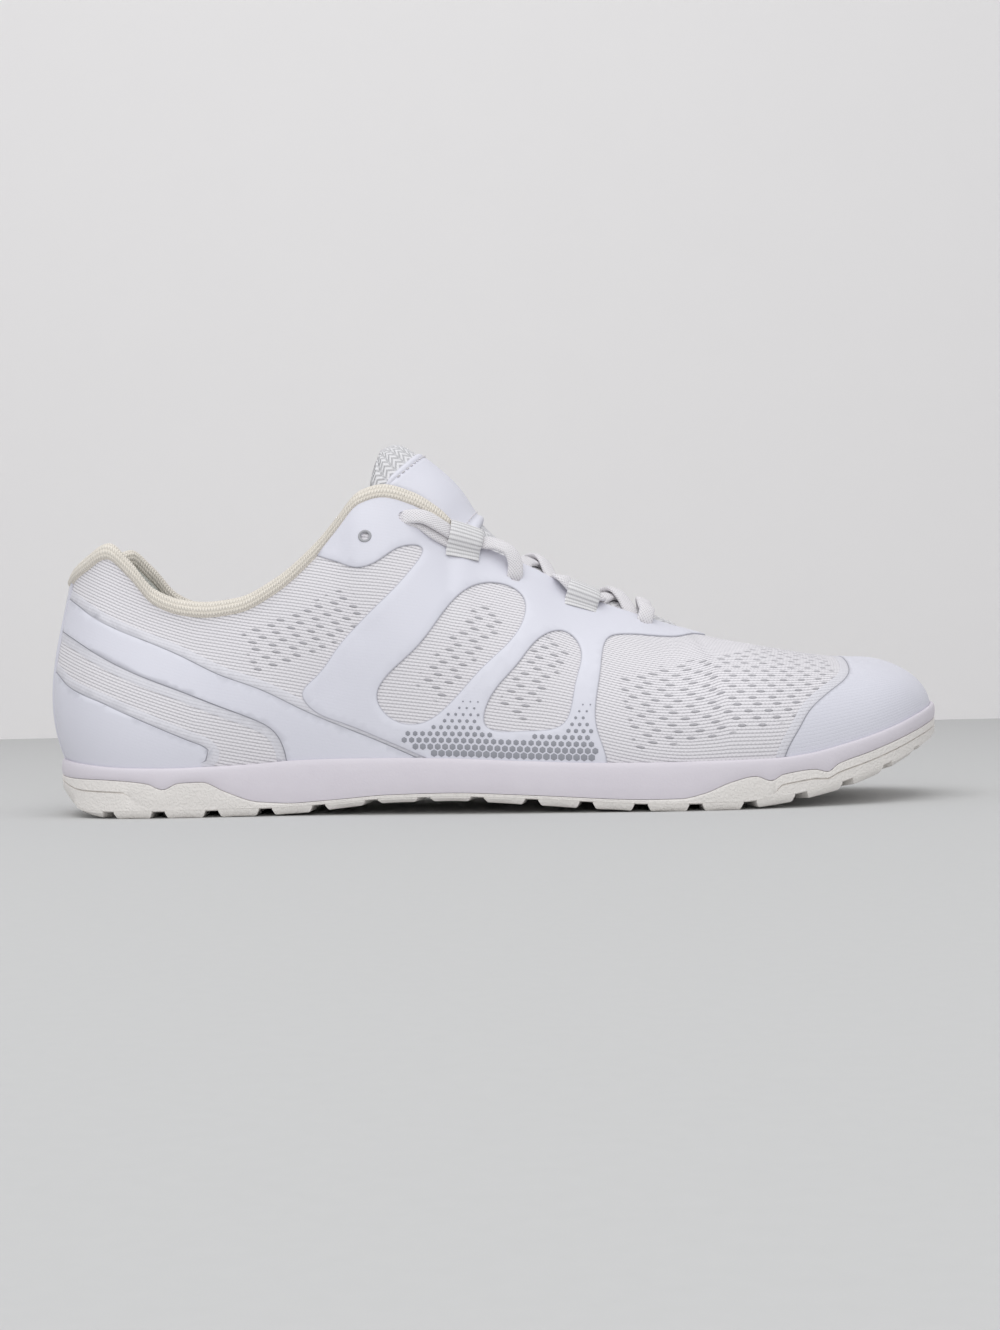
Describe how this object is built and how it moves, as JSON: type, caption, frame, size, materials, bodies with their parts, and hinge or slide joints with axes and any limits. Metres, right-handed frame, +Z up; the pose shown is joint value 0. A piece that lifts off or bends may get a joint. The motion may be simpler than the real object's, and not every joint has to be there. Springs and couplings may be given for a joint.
{
  "type": "barefoot shoe",
  "caption": "Low barefoot running shoe for the right foot, with a hollow mesh upper under welded films, laces through webbing loops, and a thin lugged rubber sole.",
  "frame": {"origin": "middle of the shoe's length and width, on the floor it stands on", "axes": "+X towards the toe, +Y towards the medial side, +Z up"},
  "size_m": [0.2917, 0.1081, 0.1196],
  "materials": {
    "rubber": "matt moulded rubber, warm white",
    "foam": "satin moulded foam, cool white",
    "lining": "fine grey-green textile",
    "mesh": "ribbed engineered mesh with small vents, white",
    "film": "thin satin film, bluish white",
    "knit": "soft cream knit",
    "tongue": "braided knit, white",
    "lace": "flat woven lace, pale grey-white",
    "webbing": "ribbed grosgrain webbing, pale grey"
  },
  "bodies": {
    "root": {"outsole": "rubber", "midsole": "foam", "insole": "lining", "upper": "mesh", "toe_cap": "film", "heel_counter": "film", "heel_band": "film", "eyestay": "film", "collar_binding": "knit", "tongue": "tongue", "tongue_patch": "film", "heel_strip": "film", "lace": "lace", "loop_low_lateral": "webbing", "loop_high_lateral": "webbing", "loop_low_medial": "webbing", "loop_high_medial": "webbing"}
  },
  "joints": []
}
